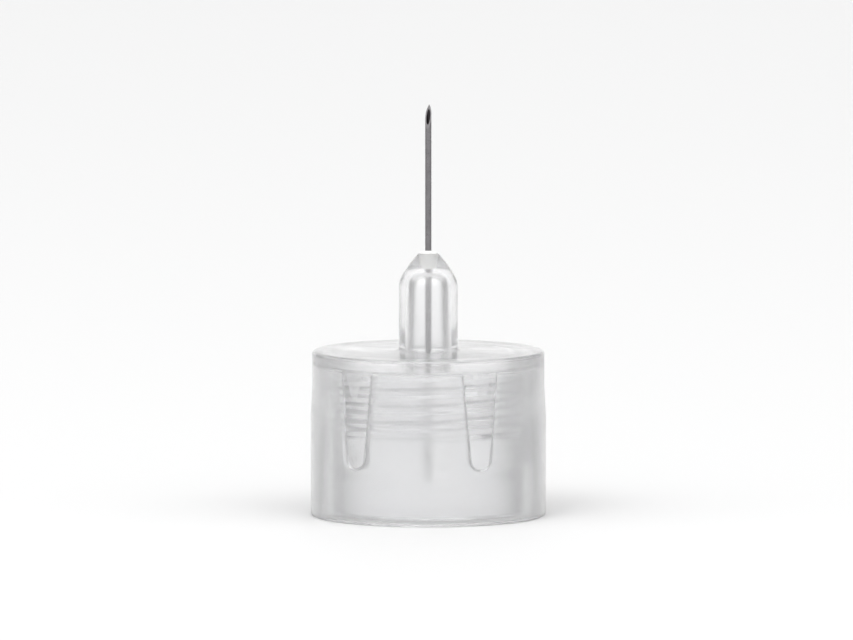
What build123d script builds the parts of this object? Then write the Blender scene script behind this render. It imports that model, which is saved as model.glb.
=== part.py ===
from build123d import *

import os
from math import ceil, radians, tan

# Pen needle: a double-ended steel tube, glued into a clear moulded hub that screws onto a pen.
# Millimetres. The origin is the centre of the open rim that the hub stands on, and the long end of the
# tube points up along +Z. The front is -Y.

# Thread: one right-handed ridge round the bore of the sleeve, from the plate downwards
thread_root_radius = 4.66
thread_length = 3.52
thread_pitch = 0.90
thread_depth = 0.36
crest_width = 0.20
flank_angle = 30.0

# Threaded sleeve: it hangs from the plate inside the skirt and ends a little above the rim
sleeve_wall = 0.52
sleeve_length = 7.90
sleeve_recess = 0.30
sleeve_lead = 0.18

# Mouth of the sleeve: a slightly wider bore that guides the pen's nose, tapered into the thread's bore
mouth_bore_step = 0.14
mouth_bore_length = 2.00
mouth_bore_taper = 0.60

# Pocket round the sleeve, open at the bottom, and the webs that cross its upper part
pocket_gap = 0.52
pocket_draft = 0.05
web_count = 5
web_height = 5.40
web_top_width = 2.34
web_foot_width = 1.50
first_web_angle = -60.5

# Skirt: the outer wall that the fingers turn, with a slightly narrower collar under the plate
skirt_wall = 0.70
mouth_lead = 0.15
collar_height = 2.00
shoulder_height = 1.40
shoulder_step = 0.08
rim_round = 0.12
plate_thickness = 0.80
plate_edge_round = 0.20

# Post: the hollow stem that carries the tube, with a blunt nose
post_radius = 1.60
post_straight = 3.50
nose_height = 1.80
nose_shoulder_radius = 1.00
nose_shoulder_angle = 27.0
post_base_round = 0.22
air_bore_radius = 0.88
air_bore_draft = 0.06
bridge_thickness = 0.25

# Glue well in the nose, and the bead that fills it and climbs the tube a little
tip_radius = 0.53
tip_land = 0.10
well_depth = 1.00
well_floor_radius = 0.30
bead_setback = 0.04
bead_height = 0.14

# Tube: its outer size, its wall, how far it stands out at each end and its lancet points
tube_radius = 0.17
tube_wall = 0.075
exposed_length = 8.10
cartridge_length = 5.55
guide_clearance = 0.01
bevel_length = 1.35
side_grind_length = 0.84
side_grind_turn = 35.0
point_angle = -108.0
cartridge_point_angle = 90.0

# Heights and radii that follow from the sizes above
sleeve_radius = thread_root_radius + sleeve_wall
mouth_bore_radius = thread_root_radius + mouth_bore_step
mouth_bore_top = sleeve_recess + mouth_bore_length
mouth_radius = sleeve_radius + pocket_gap
rim_radius = mouth_radius + skirt_wall
collar_radius = rim_radius - shoulder_step
plate_under = sleeve_recess + sleeve_length
skirt_height = plate_under + plate_thickness
web_foot = plate_under - web_height
shoulder_top = skirt_height - collar_height
grip_height = shoulder_top - shoulder_height
nose_start = skirt_height + post_straight
post_top = nose_start + nose_height
well_mouth_radius = tip_radius - tip_land
well_floor = post_top - well_depth
bridge_under = well_floor - bridge_thickness
guide_radius = tube_radius + guide_clearance
tube_top = post_top + exposed_length
tube_bottom = plate_under - cartridge_length

# How deep the webs and the thread ridge are sunk into the walls that carry them
web_root = 0.20
ridge_root = 0.10
same_place = 0.001


def circles(part, radius, height):
    """The round edges of a part at one radius and one height."""
    rings = part.edges().filter_by(GeomType.CIRCLE)
    rings = rings.filter_by(lambda edge: abs(edge.radius - radius) < same_place)
    return rings.filter_by(lambda edge: abs(edge.arc_center.Z - height) < same_place)


def point_planes(tip_height, up, angle):
    """The bevel and the two side grinds of a lancet point whose bevel faces the angle given."""
    bevel_way = Vector(1, 0, 0).rotate(Axis.Z, angle)
    tip = Vector(0, 0, tip_height) - bevel_way * tube_radius
    grinds = [
        (0.0, bevel_length),
        (side_grind_turn, side_grind_length),
        (-side_grind_turn, side_grind_length),
    ]
    planes = []
    for turn, length in grinds:
        outward = bevel_way.rotate(Axis.Z, turn) * length + Vector(0, 0, up) * 2 * tube_radius
        planes.append(Plane(origin=tip, z_dir=outward))
    return planes


# One web: a bar between the sleeve and the skirt, drawn in the +X direction, with a round foot
web_start = sleeve_radius - web_root
web_reach = mouth_radius + web_root
with BuildPart() as web:
    with BuildSketch(Plane.YZ.offset(web_start)):
        with Locations((0, web_foot + web_foot_width / 2)):
            Circle(web_foot_width / 2)
        with Locations((0, plate_under)):
            Rectangle(web_top_width, web_root, align=(Align.CENTER, Align.MIN))
        make_hull()
    extrude(amount=web_reach - web_start)


# Thread ridge: one length of under a turn, a trapezoid swept along a helix, then repeated up the bore
thread_start = plate_under - thread_length
crest_radius = thread_root_radius - thread_depth
outer_half = crest_width / 2 + (thread_depth + ridge_root) * tan(radians(flank_angle))
ridge_lengths = ceil((thread_length + ridge_root) / thread_pitch)
rise = (thread_length + ridge_root) / ridge_lengths
with BuildPart() as ridge_piece:
    with BuildLine() as path:
        Helix(thread_pitch, rise, thread_root_radius, center=(0, 0, thread_start))
    with BuildSketch(Plane(origin=path.line @ 0, x_dir=(1, 0, 0), z_dir=path.line % 0)):
        with BuildLine():
            Polyline(
                (ridge_root, -outer_half),
                (ridge_root, outer_half),
                (-thread_depth, crest_width / 2),
                (-thread_depth, -crest_width / 2),
                close=True,
            )
        make_face()
    sweep(path=path.line, is_frenet=True)

# The lower end of the ridge is faded out by a cone
with BuildPart() as ridge:
    for number in range(ridge_lengths):
        with Locations(Location((0, 0, number * rise), (0, 0, 360 * number * rise / thread_pitch))):
            add(ridge_piece.part)
    with BuildSketch(Plane.YZ):
        with BuildLine():
            Polyline(
                (thread_root_radius + 2 * ridge_root, thread_start - outer_half),
                (thread_root_radius + 2 * ridge_root, skirt_height),
                (crest_radius - ridge_root, skirt_height),
                (crest_radius - ridge_root, thread_start + thread_depth),
                (thread_root_radius, thread_start - ridge_root),
                (thread_root_radius, thread_start - outer_half),
                close=True,
            )
        make_face()
    revolve(axis=Axis.Z, mode=Mode.INTERSECT)


# Hub: skirt, plate, sleeve and hollow post as one turned profile, then the webs and the thread
with BuildPart() as hub:
    with BuildSketch(Plane.XZ):
        with BuildLine():
            Polyline(
                (mouth_radius, 0),
                (rim_radius, 0),
                (rim_radius, grip_height),
                (collar_radius, shoulder_top),
                (collar_radius, skirt_height),
                (post_radius, skirt_height),
                (post_radius, nose_start),
            )
            shoulder = JernArc(
                start=(post_radius, nose_start),
                tangent=(0, 1),
                radius=nose_shoulder_radius,
                arc_size=nose_shoulder_angle,
            )
            TangentArc(shoulder @ 1, (tip_radius, post_top), tangent=shoulder % 1)
            Polyline(
                (tip_radius, post_top),
                (well_mouth_radius, post_top),
                (well_floor_radius, well_floor),
                (guide_radius, well_floor),
                (guide_radius, bridge_under),
                (air_bore_radius - air_bore_draft, bridge_under),
                (air_bore_radius, plate_under),
                (thread_root_radius, plate_under),
                (thread_root_radius, mouth_bore_top + mouth_bore_taper),
                (mouth_bore_radius, mouth_bore_top),
                (mouth_bore_radius, sleeve_recess),
                (sleeve_radius, sleeve_recess),
                (sleeve_radius + pocket_draft, plate_under),
                (mouth_radius - pocket_draft, plate_under),
                (mouth_radius, 0),
            )
        make_face()
    revolve(axis=Axis.Z)
    fillet(circles(hub, collar_radius, skirt_height), radius=plate_edge_round)
    fillet(circles(hub, post_radius, skirt_height), radius=post_base_round)
    fillet(circles(hub, rim_radius, 0), radius=rim_round)
    chamfer(circles(hub, mouth_radius, 0), length=mouth_lead)
    chamfer(circles(hub, mouth_bore_radius, sleeve_recess), length=sleeve_lead)
    with PolarLocations(0, web_count, start_angle=first_web_angle):
        add(web.part)
    add(ridge.part)
hub.part.label = "hub"


# Adhesive: the cured bead that fills the well round the tube and climbs it a little
bead_radius = tip_radius - bead_setback
with BuildPart() as adhesive:
    with BuildSketch(Plane.XZ):
        with BuildLine():
            Polyline(
                (bead_radius, post_top),
                (well_mouth_radius, post_top),
                (well_floor_radius, well_floor),
                (tube_radius, well_floor),
                (tube_radius, post_top + bead_height),
            )
            TangentArc((bead_radius, post_top), (tube_radius, post_top + bead_height), tangent=(-1, 0))
        make_face()
    revolve(axis=Axis.Z)
adhesive.part.label = "adhesive"


# Cannula: one steel tube through the hub, with a lancet point at each end
with BuildPart() as cannula:
    with BuildSketch(Plane.XY.offset(tube_bottom)):
        Circle(tube_radius)
        Circle(tube_radius - tube_wall, mode=Mode.SUBTRACT)
    extrude(amount=tube_top - tube_bottom)
    for plane in point_planes(tube_top, 1, point_angle):
        split(bisect_by=plane, keep=Keep.BOTTOM)
    for plane in point_planes(tube_bottom, -1, cartridge_point_angle):
        split(bisect_by=plane, keep=Keep.BOTTOM)
cannula.part.label = "cannula"


os.makedirs("parts", exist_ok=True)
export_step(hub.part, "parts/hub.step")
export_step(adhesive.part, "parts/adhesive.step")
export_step(cannula.part, "parts/cannula.step")
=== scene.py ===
# %% [markdown]
# # A pen needle
# A pen needle is the throw-away end of an injection pen. A thin steel tube, sharp at both ends, is glued into
# a clear moulded hub. The hub screws onto the pen, one end of the tube pierces the pen's cartridge, and the
# other end stands out in the open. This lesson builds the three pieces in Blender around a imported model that
# already fixes every size, then gives each piece the finish of the real one.
#
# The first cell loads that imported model. It stays as it is, and everything below is measured against it.

from math import acos, atan2, cos, pi, radians, sin, sqrt, tan

import bmesh
import bpy
import numpy as np
from mathutils import Matrix, Vector


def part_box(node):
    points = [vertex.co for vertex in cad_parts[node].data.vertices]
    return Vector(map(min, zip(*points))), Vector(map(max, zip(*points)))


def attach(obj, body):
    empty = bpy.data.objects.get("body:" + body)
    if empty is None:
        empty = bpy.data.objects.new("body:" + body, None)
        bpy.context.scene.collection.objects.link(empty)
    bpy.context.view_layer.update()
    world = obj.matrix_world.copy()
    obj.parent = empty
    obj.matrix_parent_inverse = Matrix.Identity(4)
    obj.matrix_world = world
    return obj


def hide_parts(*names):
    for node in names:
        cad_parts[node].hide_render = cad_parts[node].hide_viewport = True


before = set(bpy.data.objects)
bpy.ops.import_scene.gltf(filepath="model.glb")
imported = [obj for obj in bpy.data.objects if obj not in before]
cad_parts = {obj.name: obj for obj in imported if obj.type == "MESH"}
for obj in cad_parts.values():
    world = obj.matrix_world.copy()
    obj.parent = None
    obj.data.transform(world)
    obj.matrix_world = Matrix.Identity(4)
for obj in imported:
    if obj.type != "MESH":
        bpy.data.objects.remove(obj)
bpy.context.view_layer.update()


def in_mm(corner):
    """A place in metres, rounded and in millimetres, for printing."""
    return [round(value * 1000, 3) for value in corner]


for name in sorted(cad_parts):
    low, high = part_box(name)
    print(name, "goes from", in_mm(low), "to", in_mm(high), "mm")

# %% [markdown]
# ## The hub's section
# The hub is moulded in one shot of clear polypropylene, and apart from its webs and its thread it is round.
# It could be made by cutting cylinders out of each other, but that leaves knife edges, and clear plastic
# shows every edge twice, once in front and once through the wall. A moulded part has small rounds instead.
# So the section is drawn once, as corners that each carry their own round, and is turned later.
#
# The pieces are drawn in millimetres, and scaled to metres as the last step of each.

# %% Sizes of the hub in millimetres
# The sleeve that takes the pen, from its mouth up to the thread
sleeve_radius = 5.18
sleeve_end = 0.30
sleeve_lead = 0.18
mouth_bore = 4.80
mouth_bore_top = 2.30
mouth_bore_taper = 0.60
thread_root = 4.66
plain_bore = 0.50

# The pocket round the sleeve, the skirt and the plate
pocket_draft = 0.05
mouth_radius = 5.70
mouth_lead = 0.15
rim_radius = 6.40
grip_height = 5.60
shoulder_top = 7.00
collar_radius = 6.32
plate_under = 8.20
skirt_height = 9.00

# The post, with its nose, its well, its guide hole and its air bore
post_radius = 1.60
nose_start = 12.50
nose_shoulder = 1.00
nose_shoulder_angle = 27.0
post_top = 14.30
tip_radius = 0.53
well_mouth = 0.43
well_foot = 0.30
well_floor = 13.30
guide_radius = 0.18
bridge_under = 13.05
air_radius = 0.88
air_draft = 0.06
air_foot = 0.40

# %% A path whose corners are rounded
def rounded(corners, steps=5):
    """The points of a path through corners (r, z, radius), each corner with a radius turned into an arc."""
    path = [Vector(corners[0][:2])]
    for before, corner, after in zip(corners, corners[1:], corners[2:]):
        here = Vector(corner[:2])
        way_in = (here - Vector(before[:2])).normalized()
        way_out = (Vector(after[:2]) - here).normalized()
        turn = acos(max(-1.0, min(1.0, way_in.dot(way_out))))
        if corner[2] == 0 or turn < radians(0.5):
            path.append(here)
            continue
        first = here - way_in * corner[2] * tan(turn / 2)
        inward = (way_out - way_in * way_in.dot(way_out)).normalized()
        outward = -(way_in - way_out * way_in.dot(way_out)).normalized()
        centre = first + inward * corner[2]
        for step in range(steps + 1):
            path.append(centre - inward.slerp(outward, step / steps) * corner[2])
    path.append(Vector(corners[-1][:2]))
    return path


def nose(shoulder_steps=6, steps=14):
    """The blunt nose of the post: a tight arc out of its side, then a wide one to the flat tip."""
    points = []
    turn = radians(nose_shoulder_angle)
    centre = Vector((post_radius - nose_shoulder, nose_start))
    for step in range(shoulder_steps + 1):
        angle = turn * step / shoulder_steps
        points.append(centre + Vector((cos(angle), sin(angle))) * nose_shoulder)
    start = points[-1]
    way = Vector((-sin(turn), cos(turn)))
    chord = Vector((tip_radius, post_top)) - start
    bend = atan2(way.x * chord.y - way.y * chord.x, way.dot(chord))
    radius = chord.length / (2 * sin(bend))
    wide_centre = start + Vector((-way.y, way.x)) * radius
    for step in range(1, steps):
        angle = turn + 2 * bend * step / steps
        points.append(wide_centre + Vector((cos(angle), sin(angle))) * radius)
    return [(p.x, p.y, 0) for p in points]


# Each corner is (distance from the axis, height, round). A round of 0 leaves the corner sharp.
corners = [
    (thread_root, mouth_bore_top + mouth_bore_taper + plain_bore, 0),
    (thread_root, mouth_bore_top + mouth_bore_taper, 1.5),
    (mouth_bore, mouth_bore_top, 1.5),
    (mouth_bore, sleeve_end + sleeve_lead, 0.06),
    (mouth_bore + sleeve_lead, sleeve_end, 0.05),
    (sleeve_radius, sleeve_end, 0.10),
    (sleeve_radius + pocket_draft, plate_under, 0.16),
    (mouth_radius - pocket_draft, plate_under, 0.16),
    (mouth_radius, mouth_lead, 0.06),
    (mouth_radius + mouth_lead, 0.0, 0.06),
    (rim_radius, 0.0, 0.12),
    (rim_radius, grip_height, 2.0),
    (collar_radius, shoulder_top, 2.0),
    (collar_radius, skirt_height, 0.20),
    (post_radius, skirt_height, 0.22),
    *nose(),
    (tip_radius, post_top, 0.05),
    (well_mouth, post_top, 0.03),
    (well_foot, well_floor, 0.08),
    (guide_radius, well_floor, 0.03),
    (guide_radius, bridge_under, 0.03),
    (air_radius - air_draft, bridge_under, 0.60),
    (air_radius, plate_under, 0.12),
    (air_radius + air_foot, plate_under, 0),
]
section = rounded(corners)
print("the hub's section has", len(section), "points")

# %% [markdown]
# ## The thread in the bore
# The pen's own thread runs in one right-handed ridge round the sleeve's bore. A ridge swept as a separate
# body would have to be cut into the wall. Here the wall itself is drawn with the ridge in it: every column
# of points down the bore is shifted by the angle's share of one pitch, so the rows of points follow the
# ridge and its edges stay clean. Where the columns meet after a full turn, the rows are joined one pitch
# further on, as in a real screw. At the plate the rows are cut level, and at the open end a cone fades them.

# %% The ridge of the thread
thread_length = 3.52
thread_pitch = 0.90
thread_depth = 0.36
crest_width = 0.20
flank_angle = 30.0
ridge_half = crest_width / 2 + thread_depth * tan(radians(flank_angle))
ridge_path = rounded(
    [
        (0.0, thread_depth, 0),
        (crest_width / 2, thread_depth, 0.09),
        (ridge_half, 0.0, 0.10),
        (thread_pitch / 2, 0.0, 0),
    ],
    steps=4,
)
ridge_away = [p.x for p in ridge_path]
ridge_high = [p.y for p in ridge_path]
row_steps = sorted([-away for away in ridge_away[1:]] + ridge_away[:-1])
print("half of the ridge has", len(ridge_path), "points, and is", round(ridge_half, 3), "mm wide at its foot")

# %% The columns of the bore
thread_start = plate_under - thread_length
bore_low = thread_start - 0.35
fade_lead = 0.15
fade_slope = 0.8
first_turn, last_turn = -2, 5


def bore_radius(share, height):
    """The bore's radius at a share of the turn and a height: the root less the ridge, faded low down."""
    turns = (height - thread_start) / thread_pitch - share
    away = np.abs(turns - np.round(turns)) * thread_pitch
    ridge = np.interp(away, ridge_away, ridge_high)
    fade = np.clip((height - thread_start + fade_lead) * fade_slope, 0.0, thread_depth)
    return thread_root - np.minimum(ridge, fade)


def bore_column(share):
    """The points of one column of the bore, from below upwards, cut level at both ends."""
    heights = np.array([
        thread_start + thread_pitch * (share + turn) + step
        for turn in range(first_turn, last_turn + 1)
        for step in row_steps
    ])
    heights = np.clip(heights, bore_low, plate_under)
    return list(zip(bore_radius(share, heights), heights))


print("a column of the bore has", len(bore_column(0.0)), "points,", len(row_steps), "for each pitch")

# %% Helpers that make objects
def placed(name, data):
    """An object with this data, in the scene."""
    thing = bpy.data.objects.new(name, data)
    bpy.context.scene.collection.objects.link(thing)
    return thing


def mesh_object(name, points, faces, merge=0.0008):
    """An object of a mesh in millimetres, with the points that meet merged and the faces turned outwards."""
    mesh = bpy.data.meshes.new(name)
    mesh.from_pydata(points, [], faces)
    work = bmesh.new()
    work.from_mesh(mesh)
    bmesh.ops.remove_doubles(work, verts=work.verts, dist=merge)
    bmesh.ops.dissolve_degenerate(work, edges=work.edges, dist=merge)
    bmesh.ops.recalc_face_normals(work, faces=work.faces)
    loose = [edge for edge in work.edges if len(edge.link_faces) != 2]
    work.to_mesh(mesh)
    work.free()
    print(name, "has", len(mesh.polygons), "faces and", len(loose), "open edges")
    return placed(name, mesh)


# %% Turning the section and the bore into one mesh
columns = 288


def turned_with_thread():
    """The round part of the hub, with the thread in its bore."""
    points, rings = [], []
    for column in range(columns):
        share = column / columns
        across, along = cos(2 * pi * share), sin(2 * pi * share)
        ring = [(p.x, p.y) for p in section] + bore_column(share)[::-1]
        rings.append(list(range(len(points), len(points) + len(ring))))
        points += [(r * across, r * along, z) for r, z in ring]
    plain = len(section)
    total = len(rings[0])
    faces = []
    for column in range(columns):
        here = rings[column]
        there = rings[(column + 1) % columns]
        shift = len(row_steps) if column == columns - 1 else 0
        for row in range(total):
            after = (row + 1) % total
            a, b = here[row], here[after]
            far = [there[max(k - shift, plain)] if k >= plain else there[k] for k in (row, after)]
            faces.append((a, b, far[1], far[0]))
    return mesh_object("hub_turned", points, faces)


turned = turned_with_thread()

# %% [markdown]
# ## The webs
# Five webs tie the sleeve to the skirt. They are what makes the dark, rounded strokes that show through
# the wall. Each has a round foot and grows wider towards the plate, so that the mould lets go of it, and
# flares to its full width where it meets a wall. A plain bar would be quicker, but light in clear plastic
# turns on that flare, and a wide flare gives a softer stroke than a sharp corner. The flares of both walls
# have to fit side by side in the pocket, which is 0.42 mm wide at the plate, so neither is wider than 0.20.
# A web is drawn as a sheet of outlines, wider near the walls, and a boolean joins the five to the hub.

# %% One web
# Where its round foot ends, its widths at the plate and at the foot, and how far its ends are sunk
web_end = 2.80
web_flare = 0.20
web_top = 2.34 - 2 * web_flare
web_foot = 1.50 - 2 * web_flare
sunk_in_plate = 0.15
sunk_in_wall = 0.10
at_wall = 0.0015
flare_turns = (22, 38, 54, 70, 90)


def wall_flare(away):
    """How much wider a web is at a distance from a wall."""
    if away >= web_flare:
        return 0.0
    inside = max(away, at_wall)
    return web_flare - sqrt(max(0.0, web_flare ** 2 - (web_flare - inside) ** 2))


def web_outline(wider, side_steps=12, foot_steps=20):
    """The outline of a web seen from outside, as (sideways, height) points."""
    foot = web_foot / 2
    foot_centre = web_end + web_flare + foot
    top = plate_under + sunk_in_plate
    side = []
    for step in range(side_steps + 1):
        height = top - (top - foot_centre) * step / side_steps
        grown = (web_top / 2 - foot) * (height - foot_centre) / (plate_under - foot_centre)
        side.append((foot + grown + wider, height))
    arc = []
    for step in range(1, foot_steps):
        angle = -pi * step / foot_steps
        arc.append(((foot + wider) * cos(angle), foot_centre + (foot + wider) * sin(angle)))
    return side + arc + [(-x, z) for x, z in reversed(side)]


def web_points(angle):
    """The points of one web as a list of outlines, from inside the sleeve to inside the skirt."""
    middle = (sleeve_radius + mouth_radius) / 2
    away = [-sunk_in_wall, at_wall] + [web_flare * (1 - cos(radians(turn))) for turn in flare_turns]
    outlines = []
    for outer in (False, True):
        for distance in (reversed(away) if outer else away):
            outline = []
            for sideways, height in web_outline(wall_flare(distance)):
                lean = pocket_draft * height / plate_under
                radius = mouth_radius - lean - distance if outer else sleeve_radius + lean + distance
                turn = radians(angle) + sideways / middle
                outline.append((radius * cos(turn), radius * sin(turn), height))
            outlines.append(outline)
    return outlines


print("a web has", len(web_points(0.0)), "outlines of", len(web_outline(0.0)), "points")

# %% All five webs in one mesh
first_web = -60.5
web_count = 5
points, faces = [], []
for number in range(web_count):
    outlines = web_points(first_web + 360 * number / web_count)
    start = len(points)
    size = len(outlines[0])
    for outline in outlines:
        points += outline
    for row in range(len(outlines) - 1):
        for k in range(size):
            after = (k + 1) % size
            low, high = start + row * size, start + (row + 1) * size
            faces.append((low + k, low + after, high + after, high + k))
    faces.append(tuple(start + k for k in range(size)))
    faces.append(tuple(start + (len(outlines) - 1) * size + k for k in range(size)))
webs = mesh_object("hub_webs", points, faces, merge=0.0001)

# %% Joining the webs to the hub
sharp_from = 32.0
weld = 0.0005


def scaled_to_metres(thing):
    """Ends a piece: its mesh goes from millimetres to metres, smooth but for its real edges."""
    mesh = thing.data
    mesh.transform(Matrix.Scale(0.001, 4))
    mesh.shade_smooth()
    mesh.set_sharp_from_angle(angle=radians(sharp_from))
    mesh.update()
    mesh.name = thing.name
    triangles = sum(len(face.vertices) - 2 for face in mesh.polygons)
    print(thing.name, "has", triangles, "triangles")
    return thing


join = turned.modifiers.new("webs", "BOOLEAN")
join.operation = "UNION"
join.solver = "EXACT"
join.object = webs
depsgraph = bpy.context.evaluated_depsgraph_get()
joined = bpy.data.meshes.new_from_object(turned.evaluated_get(depsgraph))
turned.modifiers.clear()
turned.data = joined
bpy.data.objects.remove(webs)
turned.name = "hub_moulding"
work = bmesh.new()
work.from_mesh(joined)
bmesh.ops.remove_doubles(work, verts=work.verts, dist=weld)
print("open edges after joining:", len([e for e in work.edges if len(e.link_faces) != 2]))
work.to_mesh(joined)
work.free()
hub = scaled_to_metres(turned)

# %% [markdown]
# ## The steel tube
# The tube is drawn stainless steel, and both its ends are ground: one long bevel, then two short side grinds
# that make a lancet point. A boolean with three slabs would do it. It is simpler to say how high each point
# of the tube may stand: a ground face is a plane, and the point's height is that of the lowest plane there.

# %% The ground ends of the tube
tube_radius = 0.17
tube_wall = 0.075
tube_top = 22.40
tube_bottom = 2.65
point_angle = -108.0
cartridge_point_angle = 90.0

# Each ground face is (turn from the bevel, length)
grinds = ((0.0, 1.35), (35.0, 0.84), (-35.0, 0.84))


def ground_height(x, y, tip, up, angle):
    """The height of the ground end at a place across the tube."""
    bevel_way = Vector((cos(radians(angle)), sin(radians(angle))))
    corner = -bevel_way * tube_radius
    heights = []
    for turn, length in grinds:
        way = Vector((cos(radians(angle + turn)), sin(radians(angle + turn))))
        heights.append(length * way.dot(Vector((x, y)) - corner) / (2 * tube_radius))
    return tip - up * max(heights)


long_point = ground_height(0.0, 0.0, tube_top, 1, point_angle)
print("the bevel crosses the axis", round(tube_top - long_point, 3), "mm below the tip")

# %% The tube
# Rings between the ends, where the tube enters or leaves something, so that no face is too long
levels = [4.4, plate_under, bridge_under, well_floor, post_top, 16.0, 18.0, 20.6]


def tube(sides=112, across=7):
    """The tube as one closed mesh."""
    points, faces, rings = [], [], []
    inner = tube_radius - tube_wall
    radii = [tube_radius + (inner - tube_radius) * k / across for k in range(across + 1)]
    for side in range(sides):
        angle = 2 * pi * side / sides
        ring = []
        for radius in radii[::-1]:
            x, y = radius * cos(angle), radius * sin(angle)
            ring.append((x, y, ground_height(x, y, tube_bottom, -1, cartridge_point_angle)))
        x, y = tube_radius * cos(angle), tube_radius * sin(angle)
        ring += [(x, y, level) for level in levels]
        for radius in radii:
            x, y = radius * cos(angle), radius * sin(angle)
            ring.append((x, y, ground_height(x, y, tube_top, 1, point_angle)))
        x, y = inner * cos(angle), inner * sin(angle)
        ring += [(x, y, level) for level in levels[::-1]]
        rings.append(list(range(len(points), len(points) + len(ring))))
        points += ring
    total = len(rings[0])
    for side in range(sides):
        here, there = rings[side], rings[(side + 1) % sides]
        for row in range(total):
            after = (row + 1) % total
            faces.append((here[row], here[after], there[after], there[row]))
    return mesh_object("needle_tube", points, faces, merge=0.0002)


needle = scaled_to_metres(tube())

# %% [markdown]
# ## The bead of glue
# A drop of clear resin fills the well at the tip of the post and climbs the tube a little before it cures.
# Two clear solids that only touch show a bright skin of air between them. The real glue wets the plastic,
# so the bead is drawn a few thousandths of a millimetre into the plastic and the steel.

# %% The bead
def turned_piece(name, path, sides, merge):
    """A closed path of (r, z) points turned into a round piece."""
    points, faces = [], []
    for side in range(sides):
        across, along = cos(2 * pi * side / sides), sin(2 * pi * side / sides)
        points += [(p.x * across, p.x * along, p.y) for p in path]
    for side in range(sides):
        here, there = side * len(path), (side + 1) % sides * len(path)
        for row in range(len(path)):
            after = (row + 1) % len(path)
            faces.append((here + row, here + after, there + after, there + row))
    return mesh_object(name, points, faces, merge)


wetting = 0.006
bead_setback = 0.04
bead_radius = tip_radius - bead_setback
bead_height = 0.14
meniscus_steps = 12
meniscus = []
for step in range(meniscus_steps + 1):
    share = step / meniscus_steps
    radius = bead_radius + (tube_radius - wetting - bead_radius) * share
    climb = (0.55 * share + 0.45 * share ** 4) ** 0.9
    meniscus.append((radius, post_top + bead_height * climb, 0))
bead_path = rounded([
    (well_foot + wetting, well_floor - wetting, 0),
    (well_mouth + wetting, post_top - wetting, 0),
    (bead_radius, post_top - wetting, 0),
    *meniscus,
    (tube_radius - wetting, well_floor - wetting, 0),
])
bead = scaled_to_metres(turned_piece("glue_bead", bead_path, 96, 0.0002))

# %% [markdown]
# ## Effects that the materials share
# No moulded, cured or drawn surface is even. The effects that do this could be drawn in each material anew,
# but then a change has to be made several times. So each is a node group with named inputs, built once and
# placed with other values. `skin` is the low swell that a mould or a cure leaves, for the plastic and the
# resin. `haze` is the cloudiness of the stuff itself, which comes and goes, and all three materials have it.
# `hairlines` are the finest scratches, which only the steel shows here.

# %% A small helper for node groups
def new_group(name, inputs, outputs):
    """An empty node group with float inputs, as {name: default}, and outputs, as {name: type}."""
    group = bpy.data.node_groups.new(name, "ShaderNodeTree")
    for label, value in inputs.items():
        socket = group.interface.new_socket(label, in_out="INPUT", socket_type="NodeSocketFloat")
        socket.default_value = value
    for label, kind in outputs.items():
        group.interface.new_socket(label, in_out="OUTPUT", socket_type=kind)
    enter = group.nodes.new("NodeGroupInput")
    leave = group.nodes.new("NodeGroupOutput")
    return group, enter, leave


def node(tree, kind, values=None, **settings):
    """A node with its settings, and with plain values for the inputs named."""
    made = tree.nodes.new(kind)
    for label, value in settings.items():
        setattr(made, label, value)
    for label, value in (values or {}).items():
        made.inputs[label].default_value = value
    return made


# %% The swell of a skin
height_out = {"Height": "NodeSocketFloat"}
skin, enter, leave = new_group("skin", {"Size": 400.0, "Stretch": 1.0, "Depth": 1.0}, height_out)
place = node(skin, "ShaderNodeTexCoord")
shape = node(skin, "ShaderNodeCombineXYZ", {"X": 1.0, "Y": 1.0})
stretched = node(skin, "ShaderNodeVectorMath", operation="MULTIPLY")
swell = node(skin, "ShaderNodeTexNoise", {"Detail": 3.0, "Roughness": 0.45})
depth = node(skin, "ShaderNodeMath", operation="MULTIPLY")
skin.links.new(enter.outputs["Stretch"], shape.inputs["Z"])
skin.links.new(place.outputs["Object"], stretched.inputs[0])
skin.links.new(shape.outputs[0], stretched.inputs[1])
skin.links.new(stretched.outputs[0], swell.inputs["Vector"])
skin.links.new(enter.outputs["Size"], swell.inputs["Scale"])
skin.links.new(swell.outputs[0], depth.inputs[0])
skin.links.new(enter.outputs["Depth"], depth.inputs[1])
skin.links.new(depth.outputs[0], leave.inputs["Height"])
print("skin has", len(skin.nodes), "nodes")

# %% The haze of the stuff
haze, enter, leave = new_group("haze", {"Size": 300.0, "From": 0.0, "To": 1.0}, {"Mask": "NodeSocketFloat"})
place = node(haze, "ShaderNodeTexCoord")
cloud = node(haze, "ShaderNodeTexNoise", {"Detail": 4.0, "Roughness": 0.55})
spread = node(haze, "ShaderNodeMapRange", {"From Min": 0.3, "From Max": 0.7})
haze.links.new(place.outputs["Object"], cloud.inputs["Vector"])
haze.links.new(enter.outputs["Size"], cloud.inputs["Scale"])
haze.links.new(cloud.outputs[0], spread.inputs["Value"])
haze.links.new(enter.outputs["From"], spread.inputs["To Min"])
haze.links.new(enter.outputs["To"], spread.inputs["To Max"])
haze.links.new(spread.outputs[0], leave.inputs["Mask"])
print("haze has", len(haze.nodes), "nodes")

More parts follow.
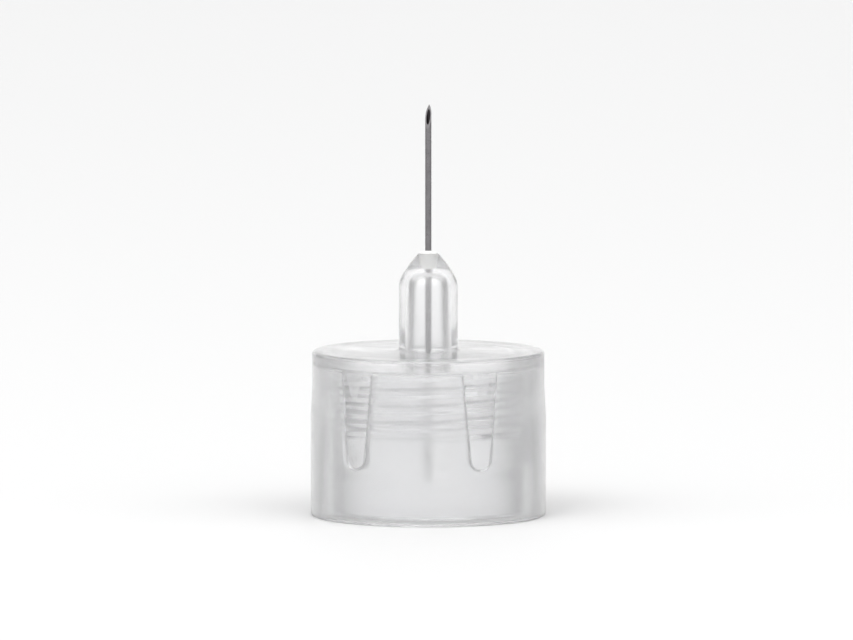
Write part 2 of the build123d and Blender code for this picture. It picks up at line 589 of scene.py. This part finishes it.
# %% The finest scratches
hairlines, enter, leave = new_group("hairlines", {"Size": 900.0, "Length": 0.05, "Depth": 1.0}, height_out)
place = node(hairlines, "ShaderNodeTexCoord")
shape = node(hairlines, "ShaderNodeCombineXYZ", {"X": 1.0, "Y": 1.0})
stretched = node(hairlines, "ShaderNodeVectorMath", operation="MULTIPLY")
scratch = node(hairlines, "ShaderNodeTexNoise", {"Detail": 5.0, "Roughness": 0.7})
depth = node(hairlines, "ShaderNodeMath", operation="MULTIPLY")
hairlines.links.new(enter.outputs["Length"], shape.inputs["Z"])
hairlines.links.new(place.outputs["Object"], stretched.inputs[0])
hairlines.links.new(shape.outputs[0], stretched.inputs[1])
hairlines.links.new(stretched.outputs[0], scratch.inputs["Vector"])
hairlines.links.new(enter.outputs["Size"], scratch.inputs["Scale"])
hairlines.links.new(scratch.outputs[0], depth.inputs[0])
hairlines.links.new(enter.outputs["Depth"], depth.inputs[1])
hairlines.links.new(depth.outputs[0], leave.inputs["Height"])
print("hairlines has", len(hairlines.nodes), "nodes")

# %% [markdown]
# ## Clear polypropylene
# Polypropylene isn't glass: it is slightly milky, so what stands behind it is softened, and light that falls
# on it makes it glow a little. A clear shader alone would look like glass, and a thin white paint would hide
# the thread. So most of the surface lets light through with a little roughness, and the rest scatters it. The
# scattered share looks small, but a look through the hub crosses eight surfaces, and each one adds its part.

# %% Small helpers for materials
def new_material(name):
    """A material with its Principled shader."""
    material = bpy.data.materials.new(name)
    material.use_nodes = True
    return material, material.node_tree, material.node_tree.nodes["Principled BSDF"]


def use(tree, group, **values):
    """A node group placed in a material with its own values."""
    made = node(tree, "ShaderNodeGroup", node_tree=group)
    for label, value in values.items():
        made.inputs[label].default_value = value
    return made


def colour_between(tree, mask, first, second):
    """A colour that goes from one to the other with a mask. Each is three numbers or a node's output."""
    mix = node(tree, "ShaderNodeMix", data_type="RGBA")
    for socket, colour in ((mix.inputs[6], first), (mix.inputs[7], second)):
        if isinstance(colour, tuple):
            socket.default_value = (*colour, 1)
        else:
            tree.links.new(colour, socket)
    tree.links.new(mask, mix.inputs[0])
    return mix.outputs[2]


# %% The material of the hub
plastic, tree, shader = new_material("clear_polypropylene")
shader.inputs["IOR"].default_value = 1.49
shader.inputs["Transmission Weight"].default_value = 0.87
milk = use(tree, haze, Size=420.0, From=0.0, To=1.0)
tint = colour_between(tree, milk.outputs[0], (0.985, 0.987, 0.995), (0.995, 0.995, 0.998))
tree.links.new(tint, shader.inputs["Base Color"])
gloss = use(tree, haze, Size=700.0, From=0.16, To=0.23)
tree.links.new(gloss.outputs[0], shader.inputs["Roughness"])
swell = use(tree, skin, Size=260.0, Stretch=0.35, Depth=1.0)
bump = node(tree, "ShaderNodeBump", {"Strength": 0.12, "Distance": 0.00012})
tree.links.new(swell.outputs[0], bump.inputs["Height"])
tree.links.new(bump.outputs[0], shader.inputs["Normal"])
print(plastic.name, "has", len(tree.nodes), "nodes")

# %% [markdown]
# ## Cured resin
# The glue is a little warmer and glossier, because it cured in the open and took no mould's surface. It is
# also cloudier than the plastic: the tube shows through it only as a pale grey stripe. So it is a shader of
# its own, which scatters most of the light and lets a little through.

# %% The material of the bead
resin, tree, shader = new_material("cured_resin")
shader.inputs["IOR"].default_value = 1.46
shader.inputs["Transmission Weight"].default_value = 0.15
milk = use(tree, haze, Size=1500.0, From=0.0, To=1.0)
tint = colour_between(tree, milk.outputs[0], (0.985, 0.985, 0.965), (0.995, 0.995, 0.98))
tree.links.new(tint, shader.inputs["Base Color"])
gloss = use(tree, haze, Size=2400.0, From=0.02, To=0.08)
tree.links.new(gloss.outputs[0], shader.inputs["Roughness"])
swell = use(tree, skin, Size=1400.0, Stretch=1.0, Depth=1.0)
bump = node(tree, "ShaderNodeBump", {"Strength": 0.15, "Distance": 0.00004})
tree.links.new(swell.outputs[0], bump.inputs["Height"])
tree.links.new(bump.outputs[0], shader.inputs["Normal"])
print(resin.name, "has", len(tree.nodes), "nodes")

# %% [markdown]
# ## Drawn steel
# The tube is drawn through a die, which leaves lines along it, and then it gets a satin look. It could be a
# plain grey metal, but the fine lines are what stretches its highlight into one soft stripe. The bore is
# painted near black as painted shade, because little light reaches it, and that painted shade is what darkens
# the point.
# A mask by the distance from the tube's axis tells the bore from the outside, and leaves the mesh as it is.

# %% The material of the tube
steel, tree, shader = new_material("drawn_steel")
shader.inputs["Metallic"].default_value = 1.0
shader.inputs["Anisotropic"].default_value = 0.4
tone = use(tree, haze, Size=2600.0, From=0.0, To=1.0)
satin = colour_between(tree, tone.outputs[0], (0.175, 0.17, 0.175), (0.22, 0.213, 0.22))
place = node(tree, "ShaderNodeTexCoord")
across = node(tree, "ShaderNodeVectorMath", {1: (1.0, 1.0, 0.0)}, operation="MULTIPLY")
away = node(tree, "ShaderNodeVectorMath", operation="LENGTH")
outside = node(
    tree, "ShaderNodeMapRange", {"From Min": 0.000098, "From Max": 0.000112}, interpolation_type="SMOOTHSTEP")
tree.links.new(place.outputs["Object"], across.inputs[0])
tree.links.new(across.outputs[0], away.inputs[0])
tree.links.new(away.outputs["Value"], outside.inputs["Value"])
# The bore's near-black colour is painted shade, for the little light that reaches inside the tube
colour = colour_between(tree, outside.outputs[0], (0.03, 0.026, 0.028), satin)
tree.links.new(colour, shader.inputs["Base Color"])
gloss = use(tree, haze, Size=5200.0, From=0.24, To=0.36)
tree.links.new(gloss.outputs[0], shader.inputs["Roughness"])
lines = use(tree, hairlines, Size=26000.0, Length=0.02, Depth=1.0)
bump = node(tree, "ShaderNodeBump", {"Strength": 0.25, "Distance": 0.000006})
tree.links.new(lines.outputs[0], bump.inputs["Height"])
tree.links.new(bump.outputs[0], shader.inputs["Normal"])
print(steel.name, "has", len(tree.nodes), "nodes")

# %% [markdown]
# ## The pieces take their places
# Each piece now gets its material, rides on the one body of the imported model, and stands for the solid that
# it was drawn after. The solids stay hidden in the frame, and nothing has to be fitted, because the pieces
# were drawn with the same sizes.

# %% Giving each piece its material and its place in the frame
for piece, material, stands_for, finish in (
    (hub, plastic, "hub", "clear_plastic"),
    (bead, resin, "adhesive", "cured_adhesive"),
    (needle, steel, "cannula", "needle_steel"),
):
    piece.data.materials.clear()
    piece.data.materials.append(material)
    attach(piece, "root")
    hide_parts(stands_for)
    print(piece.name, "stands for", stands_for, "and has", material.name)

# %% [markdown]
# ## The table and the lamps
# The table is a wide pale disc. A single hard lamp would put a glint on every edge of a clear part, so the
# lamps are two large soft boxes in front, high up, the left one stronger. They give the small highlights.

# %% The floor
def disc(name, radius, sides=96):
    """A flat round floor in metres."""
    work = bmesh.new()
    bmesh.ops.create_circle(work, cap_ends=True, radius=radius, segments=sides)
    mesh = bpy.data.meshes.new(name)
    work.to_mesh(mesh)
    work.free()
    return placed(name, mesh)


floor = disc("floor", radius=0.9)
pale, tree, shader = new_material("pale_table")
shader.inputs["Roughness"].default_value = 0.7
shader.inputs["Base Color"].default_value = (0.80, 0.80, 0.80, 1)
floor.data.materials.append(pale)
print("the floor has", len(floor.data.vertices), "points round its edge")

# %% The two soft boxes
def soft_box(name, place, size, watts, aim=(0, 0, 0.012)):
    """A square soft lamp that looks at the part."""
    lamp = bpy.data.lights.new(name, "AREA")
    lamp.shape = "SQUARE"
    lamp.size = size
    lamp.energy = watts
    thing = placed(name, lamp)
    thing.location = place
    thing.rotation_euler = (Vector(aim) - Vector(place)).to_track_quat("-Z", "Y").to_euler()
    print(name, "gives", watts, "W from", round(Vector(place).length, 2), "m")
    return thing


soft_box("box_left", (-0.16, -0.28, 0.36), 0.20, 0.42)
soft_box("box_right", (0.18, -0.27, 0.36), 0.20, 0.12)

# %% [markdown]
# ## The room
# A clear part shows the room more than itself, so the room is drawn with care. Straight behind the part is a
# narrow bright panel, and beside it stand two dark ones. Photographers of glass do the same: the dark panels
# draw the edges of the walls, and the bright one fills them. The front is pale and lights the milky plastic,
# and above is brightest towards the camera's side. Each panel has soft borders.

# %% Small helpers for the room
def ramp(tree, value, start, end):
    """A soft step from 0 to 1 between two values."""
    borders = {"From Min": start, "From Max": end}
    made = node(tree, "ShaderNodeMapRange", borders, interpolation_type="SMOOTHSTEP")
    tree.links.new(value, made.inputs["Value"])
    return made.outputs[0]


def blend(tree, mask, first, second):
    """A value that goes from one to the other with a mask. Each is a number or a node's output."""
    mix = node(tree, "ShaderNodeMix", data_type="FLOAT")
    for socket, value in ((mix.inputs[2], first), (mix.inputs[3], second)):
        if isinstance(value, float):
            socket.default_value = value
        else:
            tree.links.new(value, socket)
    tree.links.new(mask, mix.inputs[0])
    return mix.outputs[0]


# %% The room, by direction
straight_behind = 1.25
beside_it = 0.12
front = 1.20
above_front = 1.55
above_back = 0.70

room = bpy.data.worlds.new("room")
room.use_nodes = True
bpy.context.scene.world = room
tree = room.node_tree
background = tree.nodes["Background"]
background.inputs["Color"].default_value = (1, 1, 1, 1)
way = node(tree, "ShaderNodeTexCoord")
parts = node(tree, "ShaderNodeSeparateXYZ")
tree.links.new(way.outputs["Generated"], parts.inputs[0])
backwards, upwards = parts.outputs["Y"], parts.outputs["Z"]
behind = blend(tree, ramp(tree, backwards, 0.80, 0.97), beside_it, straight_behind)
around = blend(tree, ramp(tree, backwards, 0.15, -0.40), behind, front)
above = blend(tree, ramp(tree, backwards, -0.10, 0.25), above_front, above_back)
light = blend(tree, ramp(tree, upwards, 0.15, 0.50), around, above)
tree.links.new(light, background.inputs["Strength"])
print("the room has", len(tree.nodes), "nodes")

# %% [markdown]
# ## The camera
# The photograph was taken with a long lens from a little above the table, so upright sides stay parallel.
# Colours are shown as they are, with the Standard view.

# %% The camera
camera_data = bpy.data.cameras.new("camera")
camera_data.sensor_width = 36.0
camera_data.lens = 442.0
camera = placed("camera", camera_data)
bpy.context.scene.camera = camera
camera_data.clip_start = 0.01
camera_data.clip_end = 10.0
elevation = radians(5.4)
distance = 0.570
target = Vector((-0.000098, 0.0, 0.01064))
camera.location = target + Vector((0.0, -cos(elevation), sin(elevation))) * distance
camera.rotation_euler = (target - camera.location).to_track_quat("-Z", "Y").to_euler()
scene = bpy.context.scene
scene.view_settings.view_transform = "Standard"
print("the camera stands at", in_mm(camera.location), "mm")

# %% [markdown]
# ## Longer paths for light
# A ray that enters the hub crosses many walls before it leaves, and a ray that is cut off on the way counts
# as black. So the paths may be longer than in Blender's own settings, or the hub turns grey.

# %% Longer light paths
scene.cycles.max_bounces = 40
scene.cycles.diffuse_bounces = 16
scene.cycles.glossy_bounces = 24
scene.cycles.transmission_bounces = 40
print("a light path may have", scene.cycles.max_bounces, "bounces")
